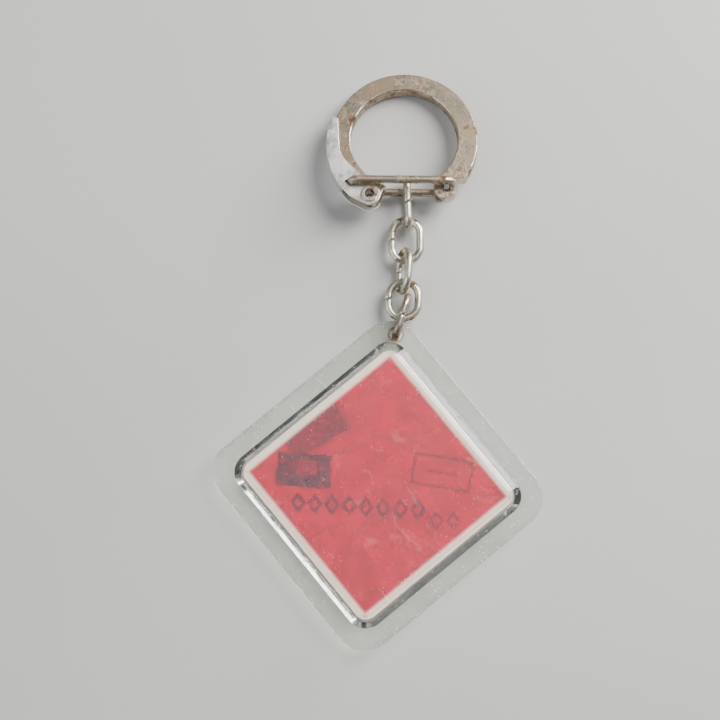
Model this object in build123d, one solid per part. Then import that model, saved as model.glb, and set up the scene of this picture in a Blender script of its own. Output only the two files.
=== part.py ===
from build123d import *
from math import asin, atan2, cos, degrees, hypot, radians, sin, sqrt
import os

# Keychain: a lever-locked ring clasp, a hanger and three links of chain, and a clear square fob
# that hangs from one corner and holds two printed cards.
# Millimetres. The object lies on its back on z = 0, clasp towards +Y, and the origin is the
# bottom centre of its bounding box.

# ---- Fob ----
fob_side = 40.0              # flat to flat across the square
fob_corner_radius = 5.0
flange_width = 3.0           # flat rim outside the raised boss
flange_thickness = 1.25      # one shell's rim
boss_height = 1.4            # one shell's boss above its rim
boss_corner_radius = 3.2
bevel_width = 2.0            # sloping side of the boss, in plan
edge_rounding = 0.35         # moulded edge all round each shell
card_side = 30.4
card_thickness = 0.3
card_corner_radius = 1.6
card_clearance = 0.15        # card edge to pocket wall
card_window_gap = 0.05       # card face to window
hole_from_corner = 4.22      # hole centre to the square's sharp corner, along the diagonal
hole_aside = 0.6             # hole centre off the diagonal
hole_clearance = 0.0612       # the hole round the bent wire that passes through it
fob_turn = 39.4              # the square's turn about Z as it lies

# ---- Chain ----
link_wire = 0.62             # wire radius of the chain's links
fob_link_wire = 0.6          # wire radius of the open ring through the fob
chain_height = 2.4           # height of the links that lie flat
twist_link_roll = -71.0      # the middle link's roll about its own length
floor_gap = 0.02             # lowest links above the floor
chain_link_2_play = 0.32
chain_link_3_play = 2.38
fob_link_nest = 0.8          # the fob link's upper end below chain_link_2, along chain_link_3
fob_link_clearance = 0.15    # rim to the fob link's wire, each side
fob_link_width = 2 * flange_thickness + 4 * fob_link_wire + 2 * fob_link_clearance
fob_link_bend = fob_link_width / 2 - fob_link_wire
hole_radius = (fob_link_wire + fob_link_bend - sqrt(fob_link_bend ** 2 - flange_thickness ** 2)
               + hole_clearance)
chain_link_3_length = (chain_link_3_play + 5 * link_wire + fob_link_wire
                       + chain_link_2_play + fob_link_nest)
# name: (wire radius, outer length, outer width, roll, heading, play, aside)
# heading is the link's long axis in plan, from +X; play is the slack between its lower end and the
# upper end of the link before it; aside is the same end's distance off that link's axis.
chain = {
    "fob_link": (fob_link_wire, 8.15, fob_link_width, 90.0, 72.5, 0.0, 0.0),
    "chain_link_3": (link_wire, chain_link_3_length, 6.0, 0.0, 87.2, chain_link_3_play, 0.2),
    "chain_link_2": (link_wire, 7.75, 5.8, twist_link_roll, 86.0, chain_link_2_play, -0.25),
    "chain_link_1": (link_wire, 7.9, 5.8, 0.0, 89.8, 0.26, 0.25),
    "hanger_link": (link_wire, 9.45, 5.2, 90.0, 92.5, 0.31, 0.45),
}
link_seat = 0.35             # the fob link's wire below the hole's centre

# ---- Ring clasp, in its own frame: origin at the centre of the ring's bore, +Z out of its face ----
ring_bore_radius = 8.65
ring_outer_radius = 11.8
ring_outer_offset = (0.1, -0.3)      # the outside is struck from a centre a little off the bore's
ring_thickness = 2.4
ring_edge = 0.15             # chamfer round the bore and the outside
tail_end_angle = 250.0       # where the ring stops under the lever, from +X
tail_slant = 2.0             # the ring's outside stops this many degrees short of the bore
tail_corner = 0.8
neck_angle = -58.0           # where the bore runs into the hook
rivet_at = (-5.6, -9.8)
rivet_radius = 1.0
rivet_bore = 0.78
rivet_flange_radius = 1.4
rivet_flange = 0.25
rivet_flange_rounding = 0.15
cheek = 0.4                  # lever sheet
side_gap = 0.05              # ring to cheek, cheek to flange, flange to bail
pin_gap = 0.05               # radial running clearance
bail_pivot = (-8.45, -7.7)
bail_bend = (7.85, -7.9)     # centre of the wire where it rounds the hook, clasp shut
bail_wire = 0.65
bail_bend_radius = 1.5
bail_foot_radius = 0.9
hanger_station = 0.45        # the hanger's place along the bail, from the bore's centre
seat_gap = 0.08              # bail wire to the hanger's lower limb
notch_rise = 1.0             # notch ceiling above the bail wire's centre
notch_drop = 1.42            # notch floor below it
notch_slack = 1.5            # notch wall inside the bail wire's centre: the bail draws in as it opens
notch_corner = 0.5
hook_reach = 0.5             # hook tip beyond the bail wire's centre
hook_lip = 0.1               # hook tip above the notch floor
# the hook's underside, from the bail wire's centre
hook_heel = (-3.0, -1.3)
hook_curl = (-2.6, -2.1)
hook_foot = (-1.7, -2.4)
hook_belly = (-0.2, -2.0)
lever_tip = (-11.45, 4.0)
lever_side = (-12.56, -1.8)
lever_foot = (-8.7, -10.2)
lever_head_radius = 1.75     # round the rivet
lever_head_angles = (248.0, 330.0, 62.0)     # start, middle and end of the round head, from +X
lever_inner = [(-6.7, -6.7), (-9.1, -4.3), (-10.5, -1.1), (-10.7, 3.4)]
spine_foot = -8.2            # the lever's closed back ends here
# the bail's hole in each cheek runs out to a point
bail_hole_point = (-1.25, 0.1)
bail_hole_shoulder = -0.2


def rounded_square(side, radius, z, height):
    return extrude(Pos(0, 0, z) * RectangleRounded(side, side, radius), height)


def boss_side():
    return fob_side - 2 * flange_width


def hole_place():
    """Hole centre in the fob's own frame: near the corner on the +X +Y diagonal."""
    along = fob_side / sqrt(2) - hole_from_corner
    return ((along + hole_aside) / sqrt(2), (along - hole_aside) / sqrt(2))


def shell():
    """Front half of the fob: rim, bevelled boss, card pocket and hanging hole."""
    rim = rounded_square(fob_side, fob_corner_radius, 0, flange_thickness)
    rim = fillet(rim.edges().group_by(Axis.Z)[-1], edge_rounding)
    base = Pos(0, 0, flange_thickness) * RectangleRounded(boss_side(), boss_side(), boss_corner_radius)
    crown_side = boss_side() - 2 * bevel_width
    crown_radius = max(boss_corner_radius - bevel_width, edge_rounding)
    crown = Pos(0, 0, flange_thickness + boss_height) * RectangleRounded(
        crown_side, crown_side, crown_radius)
    boss = loft([base.face(), crown.face()])
    body = rim + boss
    pocket = card_side + 2 * card_clearance
    pocket_depth = card_thickness + card_window_gap
    body -= rounded_square(pocket, card_corner_radius + card_clearance, 0, pocket_depth)
    x, y = hole_place()
    body -= Pos(x, y, 0) * Cylinder(hole_radius, 4 * flange_thickness)
    return body.solid()


def card():
    return rounded_square(card_side, card_corner_radius, 0, card_thickness).solid()


def link(wire, length, width):
    """A closed stadium of round wire, long axis on X from its lower end's wire centre at x = 0."""
    bend = width / 2 - wire
    run = length - width
    path = (Line((bend, -bend), (bend + run, -bend))
            + TangentArc((bend + run, -bend), (bend + run, bend), tangent=(1, 0))
            + Line((bend + run, bend), (bend, bend))
            + TangentArc((bend, bend), (bend, -bend), tangent=(-1, 0)))
    section = Plane(origin=(bend, -bend, 0), z_dir=(1, 0, 0)) * Circle(wire)
    return sweep(section, path=path).solid()


def span(name):
    """Distance between the wire centres at a link's two ends."""
    wire, length = chain[name][0], chain[name][1]
    return length - 2 * wire


def link_height(name):
    """Height of a link's middle: flat links ride in the chain, rolled ones stand on the floor."""
    wire, _, width, roll = chain[name][:4]
    if roll == 0:
        return chain_height
    return wire + (width / 2 - wire) * sin(radians(abs(roll))) + floor_gap


def fob_mid():
    return flange_thickness + boss_height


def chain_places():
    """Walk from the fob's hole to the clasp: each link's lower end and heading."""
    hx, hy = hole_place()
    turn = radians(fob_turn)
    x = hx * cos(turn) - hy * sin(turn)
    y = hx * sin(turn) + hy * cos(turn)
    places = {}
    for name, (wire, _, _, roll, heading, play, aside) in chain.items():
        h = radians(heading)
        if not places:
            x, y = x - link_seat * cos(h), y - link_seat * sin(h)
        else:
            b = radians(before)
            back = wire_before + wire + play
            x = x - back * cos(b) + aside * sin(b)
            y = y - back * sin(b) - aside * cos(b)
        z = fob_mid() if name == "fob_link" else link_height(name)
        places[name] = Location((x, y, z), (0, 0, heading)) * Rot(roll, 0, 0)
        x, y = x + span(name) * cos(h), y + span(name) * sin(h)
        before, wire_before = heading, wire
    places["top"] = (x, y, before)
    return places


def bail_offset():
    """Bail wire's centre from the ring's middle plane: cheek, flange and gaps lie between."""
    return ring_thickness / 2 + 3 * side_gap + cheek + rivet_flange + bail_wire


def bail_angle():
    return degrees(atan2(bail_bend[1] - bail_pivot[1], bail_bend[0] - bail_pivot[0]))


def bail_level():
    """The bail's height in the clasp's frame at the hanger."""
    return bail_pivot[1] + (hanger_station - bail_pivot[0]) * sin(radians(bail_angle()))


def clasp_place():
    """The bail's back wire lies on the hanger's lower limb and the ring's far edge on the floor."""
    wire, _, width = chain["hanger_link"][:3]
    wire_height = 2 * wire + floor_gap + seat_gap + bail_wire
    far = ring_outer_radius + ring_outer_offset[1]
    reach = far - bail_level()
    drop = bail_offset() - ring_thickness / 2
    tilt = asin((wire_height - floor_gap) / hypot(reach, drop)) + atan2(drop, reach)
    z = floor_gap + far * sin(tilt) + ring_thickness / 2 * cos(tilt)
    x, y, heading = chain_places()["top"]
    bend = width / 2 - wire
    free = bend - wire - bail_wire - seat_gap
    off = link_height("hanger_link") - wire_height
    ahead = sqrt(max(free ** 2 - off ** 2, 0))
    wire_y = y - (bend - ahead) * sin(radians(heading))
    wire_x = x - (bend - ahead) * cos(radians(heading))
    y0 = wire_y - bail_level() * cos(tilt) + bail_offset() * sin(tilt)
    return Location((wire_x - hanger_station, y0, z), (-degrees(tilt), 0, 0))


def ring_body():
    """The C-shaped flat ring: a plain end under the lever and a hook with a notch for the bail."""
    ox, oy = ring_outer_offset

    def outer(angle):
        a = radians(angle)
        return (ox + ring_outer_radius * cos(a), oy + ring_outer_radius * sin(a))

    def bore(angle):
        a = radians(angle)
        return (ring_bore_radius * cos(a), ring_bore_radius * sin(a))

    bx, by = bail_bend
    ceiling, floor, wall = by + notch_rise, by - notch_drop, bx - notch_slack
    step_angle = degrees(asin((ceiling - oy) / ring_outer_radius))
    tail_angle = tail_end_angle - tail_slant
    tip = (bx + hook_reach, floor + hook_lip)
    heel, curl, foot, belly = [(bx + x, by + y) for x, y in (hook_heel, hook_curl, hook_foot, hook_belly)]
    inside = ThreePointArc(bore(tail_end_angle), bore((tail_end_angle + neck_angle) / 2), bore(neck_angle))
    outside = ThreePointArc(outer(step_angle), outer((step_angle + tail_angle) / 2), outer(tail_angle))
    outline = (inside
               + Line(bore(neck_angle), heel)
               + ThreePointArc(heel, curl, foot)
               + ThreePointArc(foot, belly, tip)
               + Polyline(tip, (wall, floor), (wall, ceiling), outer(step_angle))
               + outside
               + Line(outer(tail_angle), bore(tail_end_angle)))
    face = make_face(outline)
    for corner, radius in (((wall, ceiling), notch_corner), ((wall, floor), notch_corner),
                           (outer(tail_angle), tail_corner)):
        face = fillet(face.vertices().sort_by_distance(corner)[0], radius)
    ring = extrude(face, ring_thickness / 2, both=True)
    rims = ring.edges().filter_by(GeomType.CIRCLE).filter_by(lambda edge: edge.length > ring_bore_radius)
    ring = chamfer(rims, ring_edge)
    ring -= Pos(*rivet_at) * Cylinder(rivet_radius + pin_gap / 2, 2 * ring_thickness)
    return ring.solid()


def rivet():
    """Hollow rivet with a rolled flange over each cheek."""
    half = ring_thickness / 2 + 2 * side_gap + cheek
    body = Cylinder(rivet_radius, 2 * half)
    for side in (1, -1):
        flange = Cylinder(rivet_flange_radius, rivet_flange)
        rim = flange.edges().group_by(Axis.Z)[-1 if side == 1 else 0]
        body += Pos(0, 0, side * (half + rivet_flange / 2)) * fillet(rim, rivet_flange_rounding)
    body -= Cylinder(rivet_bore, 3 * half)
    return (Pos(*rivet_at) * body).solid()


def lever():
    """Bent sheet lever: two cheeks over the ring joined along the outer edge by a closed back."""
    hx, hy = rivet_at
    head = lever_head_radius

    def round_head(angle):
        a = radians(angle)
        return (hx + head * cos(a), hy + head * sin(a))

    back = ThreePointArc(lever_tip, lever_side, lever_foot)
    start, middle, end = [round_head(angle) for angle in lever_head_angles]
    outline = (back
               + Line(lever_foot, start)
               + ThreePointArc(start, middle, end)
               + Line(end, lever_inner[0])
               + Line(lever_inner[0], lever_inner[1])
               + TangentArc(lever_inner[1], lever_inner[2], tangent=(-1, 1))
               + Polyline(lever_inner[2], lever_inner[3], lever_tip))
    face = make_face(outline)
    half = ring_thickness / 2 + side_gap
    through = 4 * half
    below = 4 * ring_outer_radius
    body = extrude(face, half + cheek, both=True)
    centre, radius = back.arc_center, back.radius
    inside = Pos(centre.X, centre.Y) * Circle(radius - cheek)
    inside += Pos(hx, spine_foot - below / 2) * Rectangle(below, below)
    body -= extrude(inside, half, both=True)
    px, py = bail_pivot
    body -= Pos(hx, hy) * Cylinder(rivet_radius + pin_gap, through)
    seat = Pos(px, py) * Circle(bail_wire + pin_gap)
    high = (px + bail_hole_shoulder, py + bail_wire)
    low = (px + bail_hole_shoulder, py - bail_wire)
    point = (px + bail_hole_point[0], py + bail_hole_point[1])
    wedge = make_face(Polyline(high, point, low, high))
    body -= extrude(seat + wedge, through / 2, both=True)
    return body.solid()


def bail():
    """Wire bail round both faces of the ring, its two feet turned in through the lever's cheeks."""
    z = bail_offset()
    foot = ring_thickness / 2 + 2 * side_gap
    length = hypot(bail_bend[0] - bail_pivot[0], bail_bend[1] - bail_pivot[1])
    corners = [(0, 0, foot), (0, 0, z), (length, 0, z), (length, 0, -z), (0, 0, -z), (0, 0, -foot)]
    radii = [bail_foot_radius, bail_bend_radius, bail_bend_radius, bail_foot_radius]
    path = FilletPolyline(*corners, radius=radii)
    wire = sweep(Plane(origin=corners[0], z_dir=(0, 0, 1)) * Circle(bail_wire), path=path)
    return (Location((*bail_pivot, 0), (0, 0, bail_angle())) * wire).solid()


def model():
    """Every piece in its place, as name: solid."""
    fob = Location((0, 0, fob_mid()), (0, 0, fob_turn))
    places = chain_places()
    clasp = clasp_place()
    pieces = {
        "clasp_ring": clasp * ring_body(),
        "clasp_rivet": clasp * rivet(),
        "clasp_lever": clasp * lever(),
        "clasp_bail": clasp * bail(),
    }
    for name in reversed(chain):
        pieces[name] = places[name] * link(*chain[name][:3])
    pieces["front_shell"] = fob * shell()
    pieces["back_shell"] = fob * mirror(shell(), about=Plane.XY).solid()
    pieces["front_card"] = fob * card()
    pieces["back_card"] = fob * mirror(card(), about=Plane.XY).solid()
    return pieces


def main():
    pieces = model()
    box = Compound(list(pieces.values())).bounding_box()
    shift = Pos(-box.center().X, -box.center().Y, -box.min.Z)
    os.makedirs("parts", exist_ok=True)
    for name, piece in pieces.items():
        export_step(shift * piece, f"parts/{name}.step")


main()
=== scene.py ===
import math

import bmesh
import bpy
import numpy as np
from bpy.props import FloatProperty, FloatVectorProperty, IntProperty, PointerProperty
from mathutils import Matrix, Vector


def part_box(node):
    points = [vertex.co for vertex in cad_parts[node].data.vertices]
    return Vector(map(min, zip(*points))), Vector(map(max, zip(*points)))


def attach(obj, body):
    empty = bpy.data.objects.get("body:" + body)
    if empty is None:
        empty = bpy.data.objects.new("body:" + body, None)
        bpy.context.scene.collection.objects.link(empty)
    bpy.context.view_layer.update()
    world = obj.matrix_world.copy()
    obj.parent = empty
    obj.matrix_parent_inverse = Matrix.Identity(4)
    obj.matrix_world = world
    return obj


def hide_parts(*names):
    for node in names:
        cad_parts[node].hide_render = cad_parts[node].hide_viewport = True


bl_info = {
    "name": "Keychain with clear fob",
    "version": (1, 0, 0),
    "blender": (4, 5, 0),
    "location": "View3D > Sidebar > Keychain",
    "description": "Builds the visible pieces of a lever-clasp keychain over its packed CAD frame",
    "category": "Object",
}

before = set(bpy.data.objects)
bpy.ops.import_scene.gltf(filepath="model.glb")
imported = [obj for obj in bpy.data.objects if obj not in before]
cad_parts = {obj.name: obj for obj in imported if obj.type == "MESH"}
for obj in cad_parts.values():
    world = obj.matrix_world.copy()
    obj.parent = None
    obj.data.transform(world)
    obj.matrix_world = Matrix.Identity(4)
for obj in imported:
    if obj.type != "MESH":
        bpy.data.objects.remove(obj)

MM = 0.001
LINKS = {
    "hanger_link": "hanger",
    "chain_link_1": "link_1",
    "chain_link_2": "link_2",
    "chain_link_3": "link_3",
    "fob_link": "fob_ring",
}


# ---------------------------------------------------------------- settings

class KeychainFobSettings(bpy.types.PropertyGroup):
    side: FloatProperty(
        name="Side", description="Flat to flat across the square fob",
        default=40.0 * MM, unit="LENGTH")
    corner_radius: FloatProperty(
        name="Corner radius", description="Outer corner radius of the rim",
        default=5.0 * MM, unit="LENGTH")
    turn: FloatProperty(
        name="Turn", description="How far the square is turned about Z as it lies",
        default=math.radians(39.4), subtype="ANGLE")
    rim_width: FloatProperty(
        name="Rim width", description="Flat rim outside the raised boss",
        default=3.0 * MM, unit="LENGTH")
    rim_thickness: FloatProperty(
        name="Rim thickness", description="Thickness of one shell's rim",
        default=1.25 * MM, unit="LENGTH")
    boss_height: FloatProperty(
        name="Boss height", description="One shell's boss above its rim",
        default=1.4 * MM, unit="LENGTH")
    boss_corner: FloatProperty(
        name="Boss corner", description="Corner radius where the boss meets the rim",
        default=3.2 * MM, unit="LENGTH")
    bevel_width: FloatProperty(
        name="Bevel width", description="Sloping side of the boss, in plan",
        default=2.0 * MM, unit="LENGTH")
    edge_rounding: FloatProperty(
        name="Edge rounding", description="Moulded rounding on the rim's outer edge",
        default=0.35 * MM, unit="LENGTH")
    crown_rounding: FloatProperty(
        name="Crown rounding", description="Polished rounding between bevel and crown",
        default=0.22 * MM, unit="LENGTH")
    parting_gap: FloatProperty(
        name="Parting gap", description="Hairline between one shell and the middle plane",
        default=0.012 * MM, unit="LENGTH")
    pocket_side: FloatProperty(
        name="Pocket side", description="Square pocket that holds a card",
        default=30.7 * MM, unit="LENGTH")
    pocket_depth: FloatProperty(
        name="Pocket depth", description="Depth of the card pocket in one shell",
        default=0.35 * MM, unit="LENGTH")
    pocket_corner: FloatProperty(
        name="Pocket corner", description="Corner radius of the card pocket",
        default=1.75 * MM, unit="LENGTH")
    hole_radius: FloatProperty(
        name="Hole radius", description="Radius of the hanging hole",
        default=1.1 * MM, unit="LENGTH")
    hole_from_corner: FloatProperty(
        name="Hole from corner", description="Hole centre to the sharp corner of the square",
        default=4.22 * MM, unit="LENGTH")
    hole_aside: FloatProperty(
        name="Hole aside", description="Hole centre off the square's diagonal",
        default=0.6 * MM, unit="LENGTH")
    sharp_angle: FloatProperty(
        name="Sharp angle", description="Edges of the shells sharper than this stay crisp",
        default=math.radians(32), subtype="ANGLE")
    corner_steps: IntProperty(
        name="Corner steps", description="Segments in each rounded corner",
        default=20, min=4)
    side_steps: IntProperty(
        name="Side steps", description="Segments along each straight side",
        default=24, min=1)


class KeychainLinkSettings(bpy.types.PropertyGroup):
    seam: FloatProperty(
        name="Seam", description="Gap where the two ends of the wire meet",
        default=0.07 * MM, unit="LENGTH")
    unevenness: FloatProperty(
        name="Unevenness", description="Deepest hollow worn into the wire",
        default=0.03 * MM, unit="LENGTH")
    points: IntProperty(
        name="Points along", description="Sections along one link",
        default=150, min=16)
    round_points: IntProperty(
        name="Points round", description="Points round the wire",
        default=28, min=8)
    seed: IntProperty(
        name="Seed", description="First seed of the hollows; each link adds its own number",
        default=11)


class KeychainClaspSettings(bpy.types.PropertyGroup):
    ring_softening: FloatProperty(
        name="Ring softening", description="Worn rounding on the ring's edges",
        default=0.13 * MM, unit="LENGTH")
    sheet_softening: FloatProperty(
        name="Sheet softening", description="Worn rounding on the lever's sheet edges",
        default=0.07 * MM, unit="LENGTH")
    rivet_softening: FloatProperty(
        name="Rivet softening", description="Rounding on the rivet's bore",
        default=0.05 * MM, unit="LENGTH")
    sharp_angle: FloatProperty(
        name="Sharp angle", description="Edges sharper than this are softened",
        default=math.radians(38), subtype="ANGLE")


class KeychainFinishSettings(bpy.types.PropertyGroup):
    ring_tone: FloatVectorProperty(
        name="Ring tone", description="Clean plating of the ring",
        default=(0.58, 0.49, 0.37, 1), size=4, subtype="COLOR")
    lever_tone: FloatVectorProperty(
        name="Lever tone", description="Clean plating of the lever",
        default=(0.96, 0.96, 0.92, 1), size=4, subtype="COLOR")
    bail_tone: FloatVectorProperty(
        name="Bail tone", description="Clean wire of the bail",
        default=(0.66, 0.6, 0.5, 1), size=4, subtype="COLOR")
    chain_tone: FloatVectorProperty(
        name="Chain tone", description="Clean plating of the hanger and the chain links",
        default=(0.68, 0.66, 0.56, 1), size=4, subtype="COLOR")
    plastic_tint: FloatVectorProperty(
        name="Plastic tint", description="Tint of the clear shells where they are clean",
        default=(0.93, 0.94, 0.93, 1), size=4, subtype="COLOR")
    deep_red: FloatVectorProperty(
        name="Deep red", description="Card where the red has kept best",
        default=(0.32, 0.0, 0.018, 1), size=4, subtype="COLOR")
    faded_red: FloatVectorProperty(
        name="Faded red", description="Card where the red has faded",
        default=(0.46, 0.0, 0.03, 1), size=4, subtype="COLOR")
    ink: FloatVectorProperty(
        name="Ink", description="Dark print on the cards",
        default=(0.02, 0.018, 0.028, 1), size=4, subtype="COLOR")
    card_margin: FloatVectorProperty(
        name="Card margin", description="Unprinted edge of the cards",
        default=(0.78, 0.68, 0.6, 1), size=4, subtype="COLOR")


class KeychainStageSettings(bpy.types.PropertyGroup):
    target: FloatVectorProperty(
        name="Target", description="Point on the floor that the camera looks at",
        default=(-2.824 * MM, -0.173 * MM, 0.0), size=3, subtype="TRANSLATION")
    distance: FloatProperty(
        name="Distance", description="Camera to target",
        default=322.2 * MM, unit="LENGTH")
    tilt: FloatProperty(
        name="Tilt", description="Camera leaned back from straight down",
        default=math.radians(8.25), subtype="ANGLE")
    lean: FloatProperty(
        name="Lean", description="Camera leaned sideways from straight down",
        default=math.radians(0.63), subtype="ANGLE")
    lens: FloatProperty(
        name="Lens", description="Focal length in millimetres",
        default=100.0)
    floor_side: FloatProperty(
        name="Floor side", description="Side of the square floor",
        default=4.0, unit="LENGTH")
    key_energy: FloatProperty(
        name="Key energy", description="Power of the large soft light, in watts",
        default=5.5)
    fill_energy: FloatProperty(
        name="Fill energy", description="Power of the fill light, in watts",
        default=1.5)
    rim_energy: FloatProperty(
        name="Rim energy", description="Power of the low light that catches the bevel, in watts",
        default=1.2)
    sky_strength: FloatProperty(
        name="Sky strength", description="Strength of the even surround",
        default=0.16)


# ---------------------------------------------------------------- node helpers

class Net:
    """Short-hand for adding and wiring nodes in one tree."""

    def __init__(self, tree):
        self.tree = tree

    def add(self, kind, **facts):
        node = self.tree.nodes.new(kind)
        for key, value in facts.items():
            setattr(node, key, value)
        return node

    def plug(self, socket, value):
        if isinstance(value, bpy.types.NodeSocket):
            self.tree.links.new(value, socket)
        elif value is not None:
            socket.default_value = value

    def math(self, operation, *values, clamp=False):
        node = self.add("ShaderNodeMath", operation=operation, use_clamp=clamp)
        for socket, value in zip(node.inputs, values):
            self.plug(socket, value)
        return node.outputs[0]

    def plus(self, first, second, clamp=False):
        return self.math("ADD", first, second, clamp=clamp)

    def minus(self, first, second, clamp=False):
        return self.math("SUBTRACT", first, second, clamp=clamp)

    def times(self, first, second):
        return self.math("MULTIPLY", first, second)

    def absolute(self, value):
        return self.math("ABSOLUTE", value)

    def vector(self, operation, *values):
        node = self.add("ShaderNodeVectorMath", operation=operation)
        for socket, value in zip(node.inputs, values):
            self.plug(socket, value)
        return node.outputs[0]

    def split(self, value):
        node = self.add("ShaderNodeSeparateXYZ")
        self.plug(node.inputs[0], value)
        return node.outputs

    def join(self, x=0.0, y=0.0, z=0.0):
        node = self.add("ShaderNodeCombineXYZ")
        for socket, value in zip(node.inputs, (x, y, z)):
            self.plug(socket, value)
        return node.outputs[0]

    def range(self, value, low, high, start=0.0, end=1.0):
        """Smooth step of value from start at low to end at high."""
        node = self.add("ShaderNodeMapRange", interpolation_type="SMOOTHSTEP")
        for name, setting in zip(("Value", "From Min", "From Max", "To Min", "To Max"),
                                 (value, low, high, start, end)):
            self.plug(node.inputs[name], setting)
        return node.outputs["Result"]

    def noise(self, vector, scale, detail=2.0, roughness=0.5, distortion=0.0):
        node = self.add("ShaderNodeTexNoise")
        self.plug(node.inputs["Vector"], vector)
        self.plug(node.inputs["Scale"], scale)
        self.plug(node.inputs["Detail"], detail)
        self.plug(node.inputs["Roughness"], roughness)
        self.plug(node.inputs["Distortion"], distortion)
        return node.outputs[0]

    def cells(self, vector, scale):
        node = self.add("ShaderNodeTexVoronoi")
        self.plug(node.inputs["Vector"], vector)
        self.plug(node.inputs["Scale"], scale)
        return node.outputs["Distance"]

    def turned(self, vector, turn=(0.0, 0.0, 0.0), scale=(1.0, 1.0, 1.0), shift=(0.0, 0.0, 0.0)):
        node = self.add("ShaderNodeMapping")
        self.plug(node.inputs["Vector"], vector)
        self.plug(node.inputs["Location"], shift)
        self.plug(node.inputs["Rotation"], turn)
        self.plug(node.inputs["Scale"], scale)
        return node.outputs[0]

    def mix(self, factor, first, second):
        node = self.add("ShaderNodeMix", data_type="RGBA")
        self.plug(node.inputs[0], factor)
        self.plug(node.inputs[6], first)
        self.plug(node.inputs[7], second)
        return node.outputs[2]

    def any(self, *masks):
        """The strongest of the masks."""
        result = masks[0]
        for mask in masks[1:]:
            result = self.math("MAXIMUM", result, mask)
        return result

    def all(self, *masks):
        """The product of the masks."""
        result = masks[0]
        for mask in masks[1:]:
            result = self.math("MULTIPLY", result, mask)
        return result

    def group(self, name, **values):
        node = self.add("ShaderNodeGroup", node_tree=bpy.data.node_groups[name])
        for key, value in values.items():
            self.plug(node.inputs[key.replace("_", " ")], value)
        return node.outputs


def new_group(name, inputs, outputs):
    """An empty shader group with float, vector or colour sockets, and its net, input and output nodes."""
    kinds = {"f": "NodeSocketFloat", "v": "NodeSocketVector", "c": "NodeSocketColor"}
    tree = bpy.data.node_groups.new(name, "ShaderNodeTree")
    for label, (kind, default) in inputs.items():
        socket = tree.interface.new_socket(label, in_out="INPUT", socket_type=kinds[kind])
        if default is not None:
            socket.default_value = default
    for label, kind in outputs.items():
        tree.interface.new_socket(label, in_out="OUTPUT", socket_type=kinds[kind])
    net = Net(tree)
    return net, net.add("NodeGroupInput").outputs, net.add("NodeGroupOutput").inputs


def build_fine_scratches():
    """Hairline scratches in three directions, broken up along their length."""
    net, given, made = new_group(
        "fine_scratches",
        {"Vector": ("v", None), "Scale": ("f", 300.0), "Width": ("f", 0.02), "Amount": ("f", 0.5)},
        {"Mask": "f"})
    lines = []
    for turn, stretch in ((0.5, 0.07), (1.75, 0.1), (-0.62, 0.05)):
        along = net.turned(given["Vector"], turn=(0.3, 0.2, turn), scale=(stretch, 1.0, 1.0),
                           shift=(0.13 * turn, 0.07, 0.0))
        level = net.noise(along, given["Scale"], detail=1.0, distortion=0.15)
        off = net.absolute(net.minus(level, 0.5))
        line = net.range(off, 0.0, given["Width"], 1.0, 0.0)
        patch = net.noise(net.turned(given["Vector"], shift=(turn, 0.4, 0.2)),
                          net.times(given["Scale"], 0.45), detail=2.0)
        limit = net.minus(0.78, net.times(given["Amount"], 0.36))
        lines.append(net.all(line, net.range(patch, limit, net.plus(limit, 0.08))))
    net.plug(made["Mask"], net.any(*lines))


def build_rust_bloom():
    """Blotches of rust with a ragged edge, and their colour."""
    net, given, made = new_group(
        "rust_bloom",
        {"Vector": ("v", None), "Scale": ("f", 300.0), "Coverage": ("f", 0.4), "Extra": ("f", 0.0)},
        {"Mask": "f", "Color": "c"})
    broad = net.noise(given["Vector"], given["Scale"], detail=7.0, roughness=0.62)
    fine = net.noise(given["Vector"], net.times(given["Scale"], 4.5), detail=4.0, roughness=0.7)
    level = net.plus(net.times(broad, 0.72), net.times(fine, 0.28))
    level = net.plus(level, net.times(given["Extra"], 0.16))
    limit = net.minus(0.72, net.times(given["Coverage"], 0.34))
    net.plug(made["Mask"], net.range(level, net.minus(limit, 0.045),
                                     net.plus(limit, 0.045)))
    tone = net.noise(given["Vector"], net.times(given["Scale"], 2.2), detail=5.0)
    dark_to_mid = net.mix(net.range(tone, 0.38, 0.56), (0.035, 0.017, 0.009, 1), (0.13, 0.058, 0.026, 1))
    net.plug(made["Color"], net.mix(net.range(fine, 0.52, 0.68), dark_to_mid, (0.24, 0.115, 0.05, 1)))


def build_worn_and_highlit_edges():
    """Edges lightened, partly rubbed wear and partly a painted highlight, broken by noise."""
    net, given, made = new_group(
        "worn_edges",
        {"Vector": ("v", None), "Scale": ("f", 500.0), "Amount": ("f", 0.5)},
        {"Mask": "f"})
    point = net.add("ShaderNodeNewGeometry").outputs["Pointiness"]
    edge = net.range(point, 0.512, 0.56)
    speckle = net.range(net.noise(given["Vector"], given["Scale"], detail=4.0), 0.32, 0.6)
    net.plug(made["Mask"], net.all(edge, speckle, given["Amount"]))


def build_surface_grain():
    """Small dents and pits as a height."""
    net, given, made = new_group(
        "surface_grain",
        {"Vector": ("v", None), "Scale": ("f", 900.0), "Pits": ("f", 0.5)},
        {"Height": "f"})
    fine = net.noise(given["Vector"], given["Scale"], detail=5.0, roughness=0.6)
    broad = net.noise(given["Vector"], net.times(given["Scale"], 0.22), detail=2.0)
    pit = net.range(net.cells(given["Vector"], net.times(given["Scale"], 0.8)), 0.05, 0.2)
    sunk = net.times(net.minus(1.0, pit), given["Pits"])
    height = net.plus(net.times(fine, 0.45), net.times(broad, 0.55))
    net.plug(made["Height"], net.minus(height, sunk))


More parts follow.
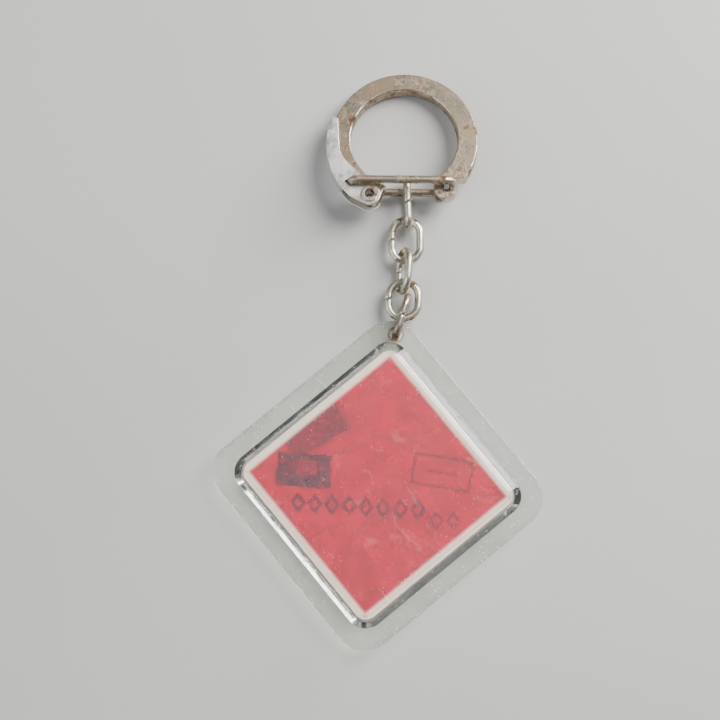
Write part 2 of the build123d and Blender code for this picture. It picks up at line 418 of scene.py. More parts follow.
def build_dust_specks():
    """Scattered specks of dust, each of its own size, thicker in patches."""
    net, given, made = new_group(
        "dust_specks",
        {"Vector": ("v", None), "Scale": ("f", 900.0), "Amount": ("f", 0.5)},
        {"Mask": "f"})
    bent = net.vector("ADD", given["Vector"],
                      net.vector("MULTIPLY", net.join(net.noise(given["Vector"], given["Scale"]),
                                                      net.noise(given["Vector"], 777.0), 0.0),
                                 (0.0008, 0.0008, 0.0)))
    speck = net.range(net.cells(bent, given["Scale"]), 0.09, 0.2, 1.0, 0.0)
    patch = net.noise(given["Vector"], net.times(given["Scale"], 0.3), detail=3.0)
    limit = net.minus(0.75, net.times(given["Amount"], 0.35))
    net.plug(made["Mask"], net.all(speck, net.range(patch, limit, net.plus(limit, 0.1))))


def build_fob_place():
    """Where a point is on the fob: across and along it as it lies, in from its outline, and from its hole."""
    net, given, made = new_group(
        "fob_place",
        {"Vector": ("v", None), "Centre": ("v", None), "Turn": ("f", 0.0), "Half Side": ("f", 0.02),
         "Hole": ("v", None)},
        {"Across": "f", "Along": "f", "Inset": "f", "From Hole": "f"})
    flat = net.vector("SUBTRACT", given["Vector"], given["Centre"])
    back = net.add("ShaderNodeVectorRotate", rotation_type="Z_AXIS")
    net.plug(back.inputs["Vector"], flat)
    net.plug(back.inputs["Angle"], net.times(given["Turn"], -1.0))
    x, y, _ = net.split(back.outputs[0])
    furthest = net.math("MAXIMUM", net.absolute(x), net.absolute(y))
    across, along, _ = net.split(flat)
    net.plug(made["Across"], across)
    net.plug(made["Along"], along)
    net.plug(made["Inset"], net.minus(given["Half Side"], furthest))
    off = net.vector("SUBTRACT", net.join(x, y, 0.0), given["Hole"])
    length = net.add("ShaderNodeVectorMath", operation="LENGTH")
    net.plug(length.inputs[0], off)
    net.plug(made["From Hole"], length.outputs["Value"])


def build_groups():
    for build in (build_fine_scratches, build_rust_bloom, build_worn_and_highlit_edges, build_surface_grain,
                  build_dust_specks, build_fob_place):
        build()


# ---------------------------------------------------------------- materials

def new_material(name):
    """A material with a bare Principled surface; returns it with its net and surface node."""
    if name in bpy.data.materials:
        raise RuntimeError(f"there is already a material named {name}")
    material = bpy.data.materials.new(name)
    material.use_nodes = True
    material.node_tree.nodes.clear()
    net = Net(material.node_tree)
    surface = net.add("ShaderNodeBsdfPrincipled")
    net.plug(net.add("ShaderNodeOutputMaterial").inputs["Surface"], surface.outputs[0])
    return material, net, surface


def bump(net, height, strength, distance):
    node = net.add("ShaderNodeBump")
    net.plug(node.inputs["Strength"], strength)
    net.plug(node.inputs["Distance"], distance)
    net.plug(node.inputs["Height"], height)
    return node.outputs[0]


def plated_metal(name, clean, dull, rust, rough, contact=None, grain=0.35, scratches=0.6):
    """Worn plated metal: a clean and a dulled tone, rust blotches, edges lightened by wear and a painted
    highlight, scratches and grain.
    """
    _, net, surface = new_material(name)
    spot = net.add("ShaderNodeTexCoord").outputs["Object"]
    extra = 0.0
    if contact:
        extra = net.add("ShaderNodeAttribute", attribute_name=contact).outputs["Fac"]
    cloud = net.noise(spot, 260.0, detail=3.0, roughness=0.5)
    fleck = net.noise(spot, 1900.0, detail=5.0, roughness=0.65)
    tarnish = net.range(net.plus(net.times(cloud, 0.55), net.times(fleck, 0.45)),
                        0.4, 0.6)
    bloom = net.group("rust_bloom", Vector=spot, Scale=420.0, Coverage=rust, Extra=extra)
    # Edge mask: rubbed wear plus a painted highlight along every sharp edge.
    edges = net.group("worn_edges", Vector=spot, Scale=900.0, Amount=0.8)["Mask"]
    hair = net.group("fine_scratches", Vector=spot, Scale=900.0, Width=0.03, Amount=scratches)["Mask"]
    rusted = net.times(bloom["Mask"], net.minus(1.0, net.times(edges, 0.6)))
    colour = net.mix(tarnish, clean, dull)
    # Edges and scratches go pale: rubbed wear, and along the edges also a painted highlight.
    colour = net.mix(net.times(net.any(edges, net.times(hair, 0.5)), 0.6),
                     colour, (0.86, 0.83, 0.76, 1))
    colour = net.mix(rusted, colour, bloom["Color"])
    net.plug(surface.inputs["Base Color"], colour)
    net.plug(surface.inputs["Metallic"], net.minus(1.0, net.times(rusted, 0.85)))
    level = net.plus(rough, net.times(tarnish, 0.14))
    level = net.plus(level, net.times(rusted, 0.36))
    net.plug(surface.inputs["Roughness"], net.minus(level, net.times(edges, 0.08)))
    height = net.group("surface_grain", Vector=spot, Scale=2200.0, Pits=grain)["Height"]
    height = net.minus(height, net.times(hair, 0.12))
    height = net.plus(height, net.times(rusted, 0.6))
    net.plug(surface.inputs["Normal"], bump(net, height, 0.3, 0.00005))


def hole_place(fob):
    """Centre of the hanging hole in the fob's own frame."""
    along = fob.side / math.sqrt(2) - fob.hole_from_corner
    return Vector(((along + fob.hole_aside) / math.sqrt(2), (along - fob.hole_aside) / math.sqrt(2), 0.0))


def fob_centre():
    """Middle of the fob, on the plane where the shells meet."""
    low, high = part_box("front_shell")
    return Vector(((low.x + high.x) / 2, (low.y + high.y) / 2, low.z))


def fob_place(net, fob):
    spot = net.add("ShaderNodeTexCoord").outputs["Object"]
    place = net.group("fob_place", Vector=spot, Centre=fob_centre(), Turn=fob.turn,
                      Half_Side=fob.side / 2, Hole=hole_place(fob))
    return spot, place


def clear_plastic(fob, finish):
    """Scratched, slightly clouded clear plastic, with a darker, yellower band along the outer edge, and
    stained round the hole.
    """
    _, net, surface = new_material("hazy_clear")
    spot, place = fob_place(net, fob)
    bent = net.vector("ADD", spot, net.vector("MULTIPLY", net.join(
        net.noise(spot, 330.0, detail=2.0), net.noise(spot, 290.0, detail=2.0), 0.0), (0.004, 0.004, 0.0)))
    hair = net.group("fine_scratches", Vector=bent, Scale=800.0, Width=0.008, Amount=0.68)["Mask"]
    deep = net.group("fine_scratches", Vector=net.turned(bent, turn=(0, 0, 0.9)), Scale=230.0,
                     Width=0.005, Amount=0.45)["Mask"]
    specks = net.group("dust_specks", Vector=spot, Scale=1500.0, Amount=0.7)["Mask"]
    cloud = net.range(net.noise(spot, 210.0, detail=6.0, roughness=0.6), 0.35, 0.7)
    nick_level = net.noise(spot, 1500.0, detail=4.0)
    rim = net.range(place["Inset"], 0.0, 0.0007, 1.0, 0.0)
    nicks = net.all(rim, net.range(nick_level, 0.6, 0.68))
    stain_edge = net.plus(fob.hole_radius,
                          net.times(net.noise(spot, 700.0, detail=2.0), 0.0006))
    stain = net.range(place["From Hole"], net.minus(stain_edge, 0.0003), stain_edge, 1.0, 0.0)
    tint = net.mix(net.times(cloud, 0.5), finish.plastic_tint, (0.86, 0.86, 0.82, 1))
    # A darker, yellower band within 0.7 mm of the outer edge.
    tint = net.mix(net.times(rim, 0.35), tint, (0.8, 0.76, 0.66, 1))
    tint = net.mix(net.times(stain, 0.85), tint, (0.5, 0.26, 0.12, 1))
    tint = net.mix(net.any(net.times(hair, 0.35), specks), tint, (0.98, 0.97, 0.94, 1))
    net.plug(surface.inputs["Base Color"], tint)
    level = net.plus(0.012, net.times(cloud, 0.025))
    marks = net.any(net.times(hair, 0.22), net.times(deep, 0.6),
                    net.times(specks, 0.6), net.times(nicks, 0.7))
    net.plug(surface.inputs["Roughness"], net.plus(level, marks, clamp=True))
    net.plug(surface.inputs["Transmission Weight"], 0.99)
    net.plug(surface.inputs["IOR"], 1.49)
    height = net.minus(net.noise(spot, 160.0, detail=2.0), net.times(hair, 0.15))
    height = net.minus(height, net.any(deep, net.times(nicks, 1.1)))
    height = net.plus(height, net.times(specks, 0.5))
    net.plug(surface.inputs["Normal"], bump(net, height, 0.3, 0.00006))
    clear = net.add("ShaderNodeBsdfTransparent")
    net.plug(clear.inputs["Color"], (0.8, 0.8, 0.78, 1))
    blend = net.add("ShaderNodeMixShader")
    net.plug(blend.inputs[0], net.add("ShaderNodeLightPath").outputs["Is Shadow Ray"])
    net.plug(blend.inputs[1], surface.outputs[0])
    net.plug(blend.inputs[2], clear.outputs[0])
    end = next(node for node in net.tree.nodes if node.bl_idname == "ShaderNodeOutputMaterial")
    net.plug(end.inputs["Surface"], blend.outputs[0])


def bar(net, x, y, centre, half, turn=0.0, soft=0.00025):
    """Mask of a turned rectangle with soft edges, from its centre and half sizes."""
    c, s = math.cos(turn), math.sin(turn)
    dx, dy = net.minus(x, centre[0]), net.minus(y, centre[1])
    u = net.plus(net.times(dx, c), net.times(dy, s))
    v = net.minus(net.times(dy, c), net.times(dx, s))
    inside_u = net.range(net.absolute(u), half[0] - soft, half[0] + soft, 1.0, 0.0)
    inside_v = net.range(net.absolute(v), half[1] - soft, half[1] + soft, 1.0, 0.0)
    return net.all(inside_u, inside_v)


def diamond_row(net, x, y, start, pitch, count, half, soft=0.00018):
    """A row of small diamonds, evenly spaced along X."""
    steps = net.math("DIVIDE", net.minus(x, start[0] - pitch / 2), pitch)
    within = net.times(net.minus(net.math("FRACT", steps), 0.5), pitch)
    reach = net.plus(net.absolute(within),
                     net.times(net.absolute(net.minus(y, start[1])), 0.75))
    ring = net.absolute(net.minus(reach, half * 0.72))
    shape = net.range(ring, half * 0.2, half * 0.2 + soft, 1.0, 0.0)
    ends = net.all(net.range(steps, -0.01, 0.01), net.range(steps, count - 0.01, count + 0.01, 1.0, 0.0))
    return net.all(shape, ends)


def printed_card(fob, finish, name, front):
    """Faded red card with a plain pattern of blocks, diamonds and a thin frame."""
    _, net, surface = new_material(name)
    spot, place = fob_place(net, fob)
    wobble = net.times(net.minus(net.noise(spot, 900.0, detail=3.0), 0.5), 0.0006)
    x, y = net.plus(place["Across"], wobble), net.plus(place["Along"], wobble)
    if not front:
        x = net.times(x, -1.0)
    patch = bar(net, x, y, (-0.0098, 0.0082), (0.0052, 0.0024), math.radians(32), 0.0006)
    block = bar(net, x, y, (-0.0117, 0.0022), (0.0043, 0.0027), math.radians(-4), 0.0003)
    window = bar(net, x, y, (-0.0112, 0.0026), (0.0017, 0.0013), math.radians(-4), 0.0002)
    strokes = diamond_row(net, x, net.plus(y, net.times(x, 0.06)),
                          (-0.0126, -0.0037), 0.0027, 8, 0.0013)
    tail = diamond_row(net, x, y, (0.0092, -0.0058), 0.0027, 2, 0.0012)
    outer = bar(net, x, y, (0.0102, 0.0018), (0.0048, 0.0026), math.radians(-9), 0.0002)
    inner = bar(net, x, y, (0.0102, 0.0018), (0.0043, 0.0021), math.radians(-9), 0.0002)
    frame_line = net.minus(outer, inner, clamp=True)
    small = bar(net, x, y, (0.0102, 0.0018), (0.0026, 0.0003), math.radians(-9), 0.0002)
    faint = net.any(net.times(strokes, 0.75), net.times(tail, 0.6),
                    net.times(frame_line, 0.6), net.times(small, 0.5))
    solid = net.any(net.times(patch, 0.72),
                    net.times(block, net.minus(0.92, net.times(window, 0.35))))
    worn = net.range(net.noise(spot, 1300.0, detail=6.0, roughness=0.7), 0.3, 0.58, 0.45, 1.0)
    ink = net.times(net.any(faint, solid), worn)
    fibre = net.noise(net.turned(spot, turn=(0, 0, 0.5), scale=(0.35, 1.0, 1.0)), 2600.0, detail=5.0)
    mottle = net.noise(spot, 330.0, detail=5.0, roughness=0.6)
    red = net.mix(net.range(mottle, 0.36, 0.66), finish.deep_red, finish.faded_red)
    red = net.mix(net.range(fibre, 0.56, 0.74, 0.0, 0.4), red, (0.52, 0.05, 0.08, 1))
    rubbed = net.range(net.noise(net.turned(spot, turn=(0, 0, 0.7), scale=(0.5, 1, 1)), 520.0, detail=6.0),
                       0.6, 0.72, 0.0, 0.45)
    red = net.mix(rubbed, red, (0.64, 0.09, 0.1, 1))
    tint = net.mix(ink, red, finish.ink)
    edge = net.range(place["Inset"], 0.0051, 0.0059, 1.0, 0.0)
    tint = net.mix(net.times(edge, 0.85), tint, finish.card_margin)
    net.plug(surface.inputs["Base Color"], tint)
    net.plug(surface.inputs["Roughness"], net.range(mottle, 0.3, 0.7, 0.55, 0.8))
    net.plug(surface.inputs["Normal"], bump(net, fibre, 0.3, 0.00004))


def floor_material():
    material, net, surface = new_material("pale_floor")
    spot = net.add("ShaderNodeTexCoord").outputs["Object"]
    tone = net.noise(spot, 14.0, detail=3.0)
    net.plug(surface.inputs["Base Color"],
             net.mix(net.range(tone, 0.3, 0.7), (0.5, 0.5, 0.49, 1), (0.53, 0.53, 0.52, 1)))
    net.plug(surface.inputs["Roughness"], 0.75)
    net.plug(surface.inputs["Normal"], bump(net, net.noise(spot, 2200.0, detail=4.0), 0.06, 0.0001))
    return material


def build_materials(fob, finish):
    """Every material of the object."""
    metals = {
        "ring_nickel": dict(clean=finish.ring_tone, dull=(0.33, 0.25, 0.17, 1), rust=0.46, rough=0.27),
        "lever_nickel": dict(clean=finish.lever_tone, dull=(0.88, 0.87, 0.82, 1), rust=0.0, rough=0.3,
                             grain=0.0, scratches=0.15),
        "rivet_nickel": dict(clean=(0.66, 0.62, 0.54, 1), dull=(0.4, 0.34, 0.27, 1), rust=0.5, rough=0.28),
        "bail_steel": dict(clean=finish.bail_tone, dull=(0.4, 0.31, 0.22, 1), rust=0.5, rough=0.3),
        "chain_steel": dict(clean=finish.chain_tone, dull=(0.46, 0.42, 0.33, 1), rust=0.2, rough=0.3,
                            contact="contact"),
        "fob_ring_steel": dict(clean=(0.5, 0.44, 0.36, 1), dull=(0.3, 0.24, 0.18, 1), rust=0.42,
                               rough=0.3, contact="contact"),
    }
    for name, facts in metals.items():
        plated_metal(name, **facts)
    clear_plastic(fob, finish)
    printed_card(fob, finish, "front_print", True)
    printed_card(fob, finish, "back_print", False)


class KEYCHAIN_OT_finishes(bpy.types.Operator):
    """Builds the shared effects and every finish of the keychain"""
    bl_idname = "keychain.finishes"
    bl_label = "Build finishes"

    def execute(self, context):
        build_groups()
        build_materials(context.scene.keychain_fob, context.scene.keychain_finish)
        return {"FINISHED"}


# ---------------------------------------------------------------- mesh helpers

def add_object(name, mesh):
    made = bpy.data.objects.new(name, mesh)
    bpy.context.scene.collection.objects.link(made)
    return made


def plain_mesh(source, name):
    """The evaluated mesh of an object with its modifiers, as a new object; the source is removed."""
    graph = bpy.context.evaluated_depsgraph_get()
    graph.update()
    mesh = bpy.data.meshes.new_from_object(source.evaluated_get(graph), depsgraph=graph)
    mesh.name = name
    bpy.data.objects.remove(source, do_unlink=True)
    if not mesh.polygons:
        raise RuntimeError(f"{name} came out with no faces")
    return add_object(name, mesh)


def finish_piece(piece, body, nodes, material=None):
    if material:
        piece.data.materials.clear()
        piece.data.materials.append(bpy.data.materials[material])
    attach(piece, body)
    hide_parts(*nodes)


def check_inside(piece, node, slack=0.02 * MM):
    """Raises an error if a piece reaches outside its CAD node's box."""
    low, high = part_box(node)
    points = np.array([v.co for v in piece.data.vertices])
    if (points.min(0) < np.array(low) - slack).any() or (points.max(0) > np.array(high) + slack).any():
        raise RuntimeError(f"{piece.name} reaches outside the box of {node}: "
                           f"{points.min(0)} {points.max(0)} against {low} {high}")


# ---------------------------------------------------------------- chain links

WIRE_SHARE = 0.98        # shown wire to CAD wire: neighbouring links stay clear of each other when they swing


def link_frame(node):
    """The CAD link's own frame, X along it and Z through it, with the shown link's length, width and wire."""
    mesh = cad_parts[node].data
    centres = np.array([f.center for f in mesh.polygons])
    areas = np.array([f.area for f in mesh.polygons])
    middle = (centres * areas[:, None]).sum(0) / areas.sum()
    off = centres - middle
    _, axes = np.linalg.eigh((off * areas[:, None]).T @ off)
    x, y = Vector(axes[:, 2]), Vector(axes[:, 1])
    if x.y < 0:
        x.negate()
    z = x.cross(y)
    if z.z < 0 or (abs(z.z) < 0.1 and z.x < 0):
        y.negate()
        z.negate()
    points = np.array([v.co for v in mesh.vertices])
    spans = []
    middle = Vector(middle)
    for axis in (x, y, z):
        along = (points - np.array(middle)) @ np.array(axis)
        middle += axis * float((along.max() + along.min()) / 2)
        spans.append(float(along.max() - along.min()))
    place = Matrix((x, y, z)).transposed().to_4x4()
    place.translation = middle
    return place, spans[0], spans[1], spans[2] / 2 * WIRE_SHARE


def build_link_tree():
    """Geometry nodes for one bent-wire link: a long loop of wire with a seam, on XY round the origin."""
    tree = bpy.data.node_groups.new("wire_link_form", "GeometryNodeTree")
    face = tree.interface
    face.new_socket("Geometry", in_out="INPUT", socket_type="NodeSocketGeometry")
    for label, kind, value in (("Wire Radius", "Float", 0.0006), ("Length", "Float", 0.008),
                               ("Width", "Float", 0.006), ("Seam", "Float", 0.00007),
                               ("Unevenness", "Float", 0.00003), ("Points Along", "Int", 150),
                               ("Points Round", "Int", 28), ("Seed", "Int", 1)):
        face.new_socket(label, in_out="INPUT", socket_type=f"NodeSocket{kind}").default_value = value
    face.new_socket("Material", in_out="INPUT", socket_type="NodeSocketMaterial")
    face.new_socket("Geometry", in_out="OUTPUT", socket_type="NodeSocketGeometry")
    net = Net(tree)
    given = net.add("NodeGroupInput").outputs
    wire = given["Wire Radius"]
    arc_points = 720
    end_length, end_size = 0.012, 0.8     # the cut ends taper over this share of the wire, to this size
    bend = net.minus(net.times(given["Width"], 0.5), wire)
    run = net.minus(given["Length"], given["Width"])
    spread = 6.0         # how quickly the arc's sides draw out into the straight limbs
    limb = net.plus(bend, net.times(run, spread / 2))
    arc = net.add("GeometryNodeCurveArc", mode="RADIUS")
    net.plug(arc.inputs["Resolution"], arc_points)
    net.plug(arc.inputs["Radius"], bend)
    net.plug(arc.inputs["Start Angle"], math.pi / 2)
    net.plug(arc.inputs["Sweep Angle"],
             net.minus(2 * math.pi, net.math("DIVIDE", given["Seam"], limb)))
    place = net.split(net.add("GeometryNodeInputPosition").outputs[0])
    lean = net.times(net.math("DIVIDE", place[0], bend), spread)
    lean = net.math("MAXIMUM", net.math("MINIMUM", lean, 1.0), -1.0)
    stretch = net.add("GeometryNodeSetPosition")
    net.plug(stretch.inputs["Geometry"], arc.outputs["Curve"])
    net.plug(stretch.inputs["Offset"], net.join(net.times(lean, net.times(run, 0.5))))
    even = net.add("GeometryNodeResampleCurve")
    net.plug(even.inputs["Curve"], stretch.outputs[0])
    net.plug(even.inputs["Count"], given["Points Along"])
    factor = net.add("GeometryNodeSplineParameter").outputs["Factor"]
    to_end = net.math("MINIMUM", factor, net.minus(1.0, factor))
    taper = net.range(to_end, 0.0, end_length, end_size, 1.0)
    section = net.add("GeometryNodeCurvePrimitiveCircle", mode="RADIUS")
    net.plug(section.inputs["Resolution"], given["Points Round"])
    net.plug(section.inputs["Radius"], wire)
    tube = net.add("GeometryNodeCurveToMesh")
    net.plug(tube.inputs["Curve"], even.outputs[0])
    net.plug(tube.inputs["Profile Curve"], section.outputs["Curve"])
    net.plug(tube.inputs["Fill Caps"], True)
    net.plug(tube.inputs["Scale"], taper)
    position = net.add("GeometryNodeInputPosition").outputs[0]
    seeded = net.vector("ADD", position, net.join(given["Seed"], 0.0, 0.0))
    hollow = net.range(net.noise(seeded, 420.0, detail=3.0), 0.35, 0.75)
    inward = net.add("ShaderNodeVectorMath", operation="SCALE")
    net.plug(inward.inputs[0], net.add("GeometryNodeInputNormal").outputs[0])
    net.plug(inward.inputs["Scale"],
             net.times(net.times(hollow, given["Unevenness"]), -1.0))
    worn = net.add("GeometryNodeSetPosition")
    net.plug(worn.inputs["Geometry"], tube.outputs[0])
    net.plug(worn.inputs["Offset"], inward.outputs[0])
    reach = net.absolute(net.split(position)[0])
    crown = net.plus(net.times(run, 0.5), bend)
    toward = net.range(reach, net.minus(crown, net.times(bend, 0.45)), crown)
    inner = net.range(reach, crown, net.plus(crown, wire), 1.0, 0.0)
    store = net.add("GeometryNodeStoreNamedAttribute", data_type="FLOAT", domain="POINT")
    net.plug(store.inputs["Geometry"], worn.outputs[0])
    net.plug(store.inputs["Name"], "contact")
    net.plug(store.inputs["Value"], net.all(toward, inner))
    smooth = net.add("GeometryNodeSetShadeSmooth")
    net.plug(smooth.inputs["Geometry"], store.outputs[0])
    whole = net.add("GeometryNodeRealizeInstances")
    net.plug(whole.inputs[0], smooth.outputs[0])
    coat = net.add("GeometryNodeSetMaterial")
    net.plug(coat.inputs["Geometry"], whole.outputs[0])
    net.plug(coat.inputs["Material"], given["Material"])
    net.plug(net.add("NodeGroupOutput").inputs["Geometry"], coat.outputs[0])
    return tree


def run_tree(tree, name, values):
    """One evaluation of a geometry tree with the given inputs, as a plain object."""
    host = add_object(name + "_host", bpy.data.meshes.new(name + "_host"))
    modifier = host.modifiers.new("form", "NODES")
    modifier.node_group = tree
    for item in tree.interface.items_tree:
        if item.item_type == "SOCKET" and item.in_out == "INPUT" and item.name in values:
            modifier[item.identifier] = values.pop(item.name)
    if values:
        raise RuntimeError(f"the tree {tree.name} has no input named {sorted(values)}")
    host.update_tag()
    return plain_mesh(host, name)


class KEYCHAIN_OT_links(bpy.types.Operator):
    """Builds the hanger, the three chain links and the fob's ring from one wire form"""
    bl_idname = "keychain.links"
    bl_label = "Build chain links"

    def execute(self, context):
        settings = context.scene.keychain_links
        tree = build_link_tree()
        for number, (node, body) in enumerate(LINKS.items()):
            place, length, width, wire = link_frame(node)
            material = "fob_ring_steel" if node == "fob_link" else "chain_steel"
            piece = run_tree(tree, node + "_wire", {
                "Wire Radius": wire, "Length": length, "Width": width, "Seam": settings.seam,
                "Unevenness": settings.unevenness, "Points Along": settings.points,
                "Points Round": settings.round_points, "Seed": settings.seed + number,
                "Material": bpy.data.materials[material]})
            piece.data.transform(place)
            check_inside(piece, node)
            finish_piece(piece, body, [node])
        return {"FINISHED"}


# ---------------------------------------------------------------- clasp

MERGE_WITHIN = 1e-7                      # points this close, in metres, are one
FLAT_WITHIN = math.radians(0.5)          # faces that turn less than this are one flat


def softened(node, name, width, angle):
    """A copy of a CAD node's mesh with flat faces merged and its sharp edges rounded."""
    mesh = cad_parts[node].data.copy()
    form = bmesh.new()
    form.from_mesh(mesh)
    bmesh.ops.remove_doubles(form, verts=form.verts, dist=MERGE_WITHIN)
    bmesh.ops.dissolve_limit(form, angle_limit=FLAT_WITHIN, verts=form.verts, edges=form.edges)
    form.to_mesh(mesh)
    form.free()
    mesh.shade_smooth()
    source = add_object(name + "_source", mesh)
    bevel = source.modifiers.new("soften", "BEVEL")
    bevel.width = width
    bevel.segments = 3
    bevel.limit_method = "ANGLE"
    bevel.angle_limit = angle
    bevel.use_clamp_overlap = True
    bevel.harden_normals = False
    source.modifiers.new("flats", "WEIGHTED_NORMAL").keep_sharp = True
    return plain_mesh(source, name)


class KEYCHAIN_OT_clasp(bpy.types.Operator):
    """Builds the ring, the rivet, the lever and the wire bail"""
    bl_idname = "keychain.clasp"
    bl_label = "Build clasp"

    def execute(self, context):
        settings = context.scene.keychain_clasp
        for node, body, slot, width, material in (
                ("clasp_ring", "clasp", "ring_metal", settings.ring_softening, "ring_nickel"),
                ("clasp_rivet", "clasp", "lever_metal", settings.rivet_softening, "rivet_nickel"),
                ("clasp_lever", "lever", "lever_metal", settings.sheet_softening, "lever_nickel"),
                ("clasp_bail", "bail", "bail_wire", settings.sheet_softening, "bail_steel")):
            piece = softened(node, node + "_worn", width, settings.sharp_angle)
            check_inside(piece, node)
            finish_piece(piece, body, [node], material)
        return {"FINISHED"}


# ---------------------------------------------------------------- fob

def outline(fob, inset, radius):
    """Points round a rounded square, inset from the fob's outline."""
    half = fob.side / 2 - inset
    straight = half - radius
    points = []
    for quarter in range(4):
        turn = quarter * math.pi / 2
        c, s = math.cos(turn), math.sin(turn)
        arc = [(straight + radius * math.cos(a), straight + radius * math.sin(a))
               for a in (math.pi / 2 * k / fob.corner_steps for k in range(fob.corner_steps + 1))]
        side = [(straight - 2 * straight * k / fob.side_steps, half) for k in range(1, fob.side_steps)]
        points += [(x * c - y * s, x * s + y * c) for x, y in arc + side]
    return points


def shell_profile(fob):
    """(inset, corner radius, height) from the pocket's window out round the rim and up to the crown."""
    gap = fob.parting_gap
    lip = 0.08 * MM                      # small bevel on the edges that meet the other shell
    edge_steps, crown_steps = 8, 6
    pocket = (fob.side - fob.pocket_side) / 2
    rows = [(pocket, fob.pocket_corner, fob.pocket_depth),
            (pocket, fob.pocket_corner, gap + lip / 2),
            (pocket - lip / 2, fob.pocket_corner + lip / 2, gap),
            (lip, fob.corner_radius - lip, gap),
            (0.0, fob.corner_radius, gap + lip)]
    r = fob.edge_rounding
    for k in range(edge_steps + 1):
        a = math.pi / 2 * k / edge_steps
        inset = r * (1 - math.cos(a))
        rows.append((inset, fob.corner_radius - inset, fob.rim_thickness - r * (1 - math.sin(a))))
    foot, slope = fob.rim_width, math.atan2(fob.boss_height, fob.bevel_width)
    top = fob.rim_thickness + fob.boss_height

    def boss_radius(inset):
        share = (inset - foot) / fob.bevel_width
        return fob.boss_corner - share * (fob.boss_corner - max(fob.boss_corner - fob.bevel_width,
                                                                fob.edge_rounding))

    rows.append((foot, fob.boss_corner, fob.rim_thickness))
    c = fob.crown_rounding
    back = c * math.tan(slope / 2)
    crown = foot + fob.bevel_width
    for k in range(crown_steps + 1):
        a = slope * (1 - k / crown_steps)
        inset = crown + back - c * math.sin(a)
        rows.append((inset, boss_radius(min(inset, crown)), top - c * (1 - math.cos(a))))
    return rows


def shell_mesh(fob, name, side):
    """One shell as stacked rounded squares, closed at the window and the crown; side is 1 or -1."""
    form = bmesh.new()
    rows = []
    for inset, radius, height in shell_profile(fob):
        rows.append([form.verts.new((x, y, side * height)) for x, y in outline(fob, inset, radius)])
    for low, high in zip(rows, rows[1:]):
        for k in range(len(low)):
            m = (k + 1) % len(low)
            form.faces.new((low[k], low[m], high[m], high[k]))
    form.faces.new(rows[0])
    form.faces.new(rows[-1])
    bmesh.ops.recalc_face_normals(form, faces=form.faces)
    mesh = bpy.data.meshes.new(name)
    form.to_mesh(mesh)
    form.free()
    return mesh


def drill(fob, depth):
    """The cutter for the hanging hole, longer than both shells are thick."""
    form = bmesh.new()
    sides = 64
    bmesh.ops.create_cone(form, cap_ends=True, segments=sides, radius1=fob.hole_radius,
                          radius2=fob.hole_radius, depth=depth,
                          matrix=Matrix.Translation(hole_place(fob)))
    mesh = bpy.data.meshes.new("drill")
    form.to_mesh(mesh)
    form.free()
    return add_object("drill", mesh)


class KEYCHAIN_OT_shells(bpy.types.Operator):
    """Builds the two clear shells of the fob with their hanging hole"""
    bl_idname = "keychain.shells"
    bl_label = "Build clear shells"

    def execute(self, context):
        fob = context.scene.keychain_fob
        place = Matrix.Translation(fob_centre()) @ Matrix.Rotation(fob.turn, 4, "Z")
        for node, side in (("front_shell", 1), ("back_shell", -1)):
            source = add_object(node + "_source", shell_mesh(fob, node + "_source", side))
            tool = drill(fob, 4 * (fob.rim_thickness + fob.boss_height))
            cut = source.modifiers.new("hole", "BOOLEAN")
            cut.object = tool
            cut.operation = "DIFFERENCE"
            cut.solver = "EXACT"
            piece = plain_mesh(source, node + "_moulded")
            bpy.data.objects.remove(tool, do_unlink=True)
            piece.data.shade_smooth()
            piece.data.set_sharp_from_angle(angle=fob.sharp_angle)
            piece.modifiers.new("flats", "WEIGHTED_NORMAL").keep_sharp = True
            piece = plain_mesh(piece, node + "_clear")
            piece.data.transform(place)
            check_inside(piece, node)
            finish_piece(piece, "fob", [node], "hazy_clear")
        return {"FINISHED"}


class KEYCHAIN_OT_cards(bpy.types.Operator):
    """Puts the printed finish on the two cards inside the fob"""
    bl_idname = "keychain.cards"
    bl_label = "Finish cards"

    def execute(self, context):
        for node, material in (("front_card", "front_print"), ("back_card", "back_print")):
            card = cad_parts[node]
            card.data.materials.clear()
            card.data.materials.append(bpy.data.materials[material])
        return {"FINISHED"}


# ---------------------------------------------------------------- stage

FLOOR_DROP = 0.02 * MM                   # floor below the lowest piece
SURROUND = (0.93, 0.95, 1.0, 1)
# name, place, the point it faces, diameter, colour
LAMPS = (
    ("key", (0.3, 0.24, 0.42), (0, 0, 0), 0.34, (1.0, 0.98, 0.95)),
    ("fill", (-0.4, -0.1, 0.35), (0, 0, 0), 0.5, (0.93, 0.96, 1.0)),
    ("rim", (0.27, 0.2, 0.13), (0, -0.02, 0), 0.16, (1.0, 1.0, 1.0)),
)


def soft_lamp(name, place, target, size, colour, energy):
    light = bpy.data.lights.new(name, "AREA")
    light.shape = "DISK"
    light.size = size
    light.energy = energy
    light.color = colour
    lamp = add_object(name, light)
    lamp.location = place
    lamp.rotation_mode = "QUATERNION"
    lamp.rotation_quaternion = (Vector(target) - Vector(place)).to_track_quat("-Z", "Y")


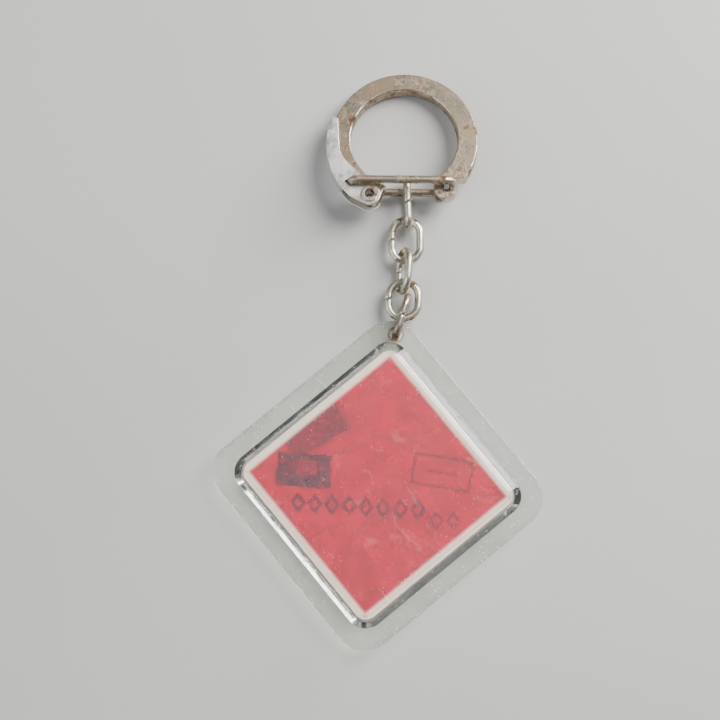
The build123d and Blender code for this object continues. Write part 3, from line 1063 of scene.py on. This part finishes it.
class KEYCHAIN_OT_stage(bpy.types.Operator):
    """Lays the pale floor, hangs the lights and sets the camera"""
    bl_idname = "keychain.stage"
    bl_label = "Set the stage"

    def execute(self, context):
        settings = context.scene.keychain_stage
        form = bmesh.new()
        bmesh.ops.create_grid(form, x_segments=8, y_segments=8, size=settings.floor_side / 2,
                              matrix=Matrix.Translation((0, 0, -FLOOR_DROP)))
        mesh = bpy.data.meshes.new("floor")
        form.to_mesh(mesh)
        form.free()
        mesh.materials.append(floor_material())
        add_object("floor", mesh)
        for name, *facts in LAMPS:
            soft_lamp(name, *facts, getattr(settings, name + "_energy"))
        world = bpy.data.worlds.new("surround")
        world.use_nodes = True
        ground = world.node_tree.nodes["Background"]
        ground.inputs["Color"].default_value = SURROUND
        ground.inputs["Strength"].default_value = settings.sky_strength
        context.scene.world = world
        camera = add_object("camera", bpy.data.cameras.new("camera"))
        camera.data.lens = settings.lens
        camera.data.sensor_width = 36.0
        camera.data.clip_start = 0.01
        camera.data.clip_end = 10.0
        turn = Matrix.Rotation(settings.lean, 4, "Y") @ Matrix.Rotation(settings.tilt, 4, "X")
        place = Vector(settings.target) + turn.col[2].xyz * settings.distance
        camera.matrix_world = Matrix.Translation(place) @ turn
        context.scene.camera = camera
        return {"FINISHED"}


class KEYCHAIN_PT_panel(bpy.types.Panel):
    bl_label = "Keychain"
    bl_idname = "KEYCHAIN_PT_panel"
    bl_space_type = "VIEW_3D"
    bl_region_type = "UI"
    bl_category = "Keychain"

    def draw(self, context):
        scene = context.scene
        for operator, settings in ((KEYCHAIN_OT_finishes, scene.keychain_finish),
                                   (KEYCHAIN_OT_links, scene.keychain_links),
                                   (KEYCHAIN_OT_clasp, scene.keychain_clasp),
                                   (KEYCHAIN_OT_shells, scene.keychain_fob),
                                   (KEYCHAIN_OT_cards, None),
                                   (KEYCHAIN_OT_stage, scene.keychain_stage)):
            box = self.layout.box()
            if settings:
                for key in settings.__annotations__:
                    box.prop(settings, key)
            box.operator(operator.bl_idname)


SETTINGS = {
    "keychain_fob": KeychainFobSettings,
    "keychain_links": KeychainLinkSettings,
    "keychain_clasp": KeychainClaspSettings,
    "keychain_finish": KeychainFinishSettings,
    "keychain_stage": KeychainStageSettings,
}
OPERATORS = (KEYCHAIN_OT_finishes, KEYCHAIN_OT_links, KEYCHAIN_OT_clasp, KEYCHAIN_OT_shells,
             KEYCHAIN_OT_cards, KEYCHAIN_OT_stage)


def register():
    for name, kind in SETTINGS.items():
        bpy.utils.register_class(kind)
        setattr(bpy.types.Scene, name, PointerProperty(type=kind))
    for kind in OPERATORS + (KEYCHAIN_PT_panel,):
        bpy.utils.register_class(kind)


def unregister():
    for kind in (KEYCHAIN_PT_panel,) + OPERATORS[::-1]:
        bpy.utils.unregister_class(kind)
    for name, kind in SETTINGS.items():
        delattr(bpy.types.Scene, name)
        bpy.utils.unregister_class(kind)


def main():
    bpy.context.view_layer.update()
    register()
    bpy.ops.keychain.finishes()
    bpy.ops.keychain.links()
    bpy.ops.keychain.clasp()
    bpy.ops.keychain.shells()
    bpy.ops.keychain.cards()
    bpy.ops.keychain.stage()


if __name__ == "__main__":
    main()
